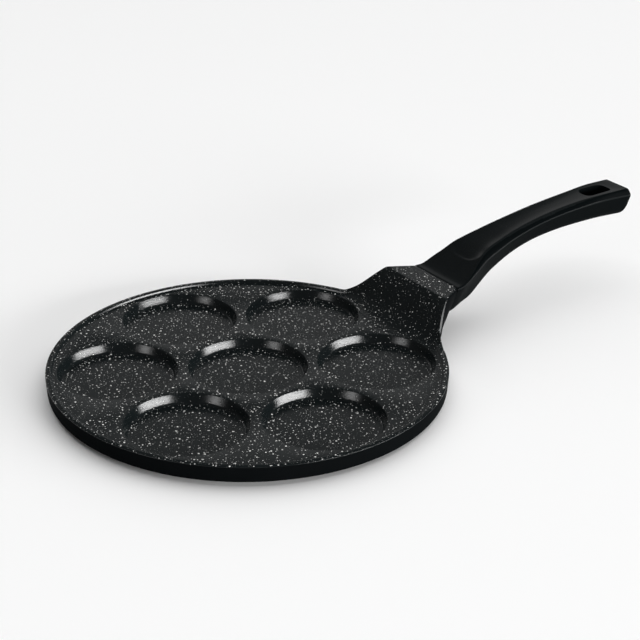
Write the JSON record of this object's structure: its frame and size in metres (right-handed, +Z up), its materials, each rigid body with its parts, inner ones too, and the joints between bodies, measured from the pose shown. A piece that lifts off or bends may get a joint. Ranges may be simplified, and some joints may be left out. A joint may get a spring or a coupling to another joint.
{
  "type": "pancake pan",
  "caption": "Flat round cast pan with shallow round wells for small pancakes, a lug on its rim and a curved moulded handle with a hang slot; rests on a hob.",
  "frame": {"origin": "middle of the pan's flat underside, on the induction plate's lower face", "axes": "+X from the pan's middle to the handle's tip, +Z up out of the wells"},
  "size_m": [0.46, 0.26, 0.0661],
  "materials": {
    "coated_aluminium": "cast aluminium under a satin black stone-effect non-stick coating with pale specks; plain black outer wall",
    "stainless_plate": "punched ferritic stainless sheet, lightly turned",
    "phenolic": "compression-moulded black phenolic with a soft-touch lacquer",
    "screw_steel": "bright zinc plate",
    "washer_steel": "bright zinc plate",
    "spring_steel": "spring steel, zinc plated and darkened"
  },
  "bodies": {
    "root": {"pan_body": "coated_aluminium", "induction_plate": "stainless_plate", "handle_grip": "phenolic", "handle_screw": "screw_steel", "flat_washer": "washer_steel", "spring_washer": "spring_steel"}
  },
  "joints": []
}
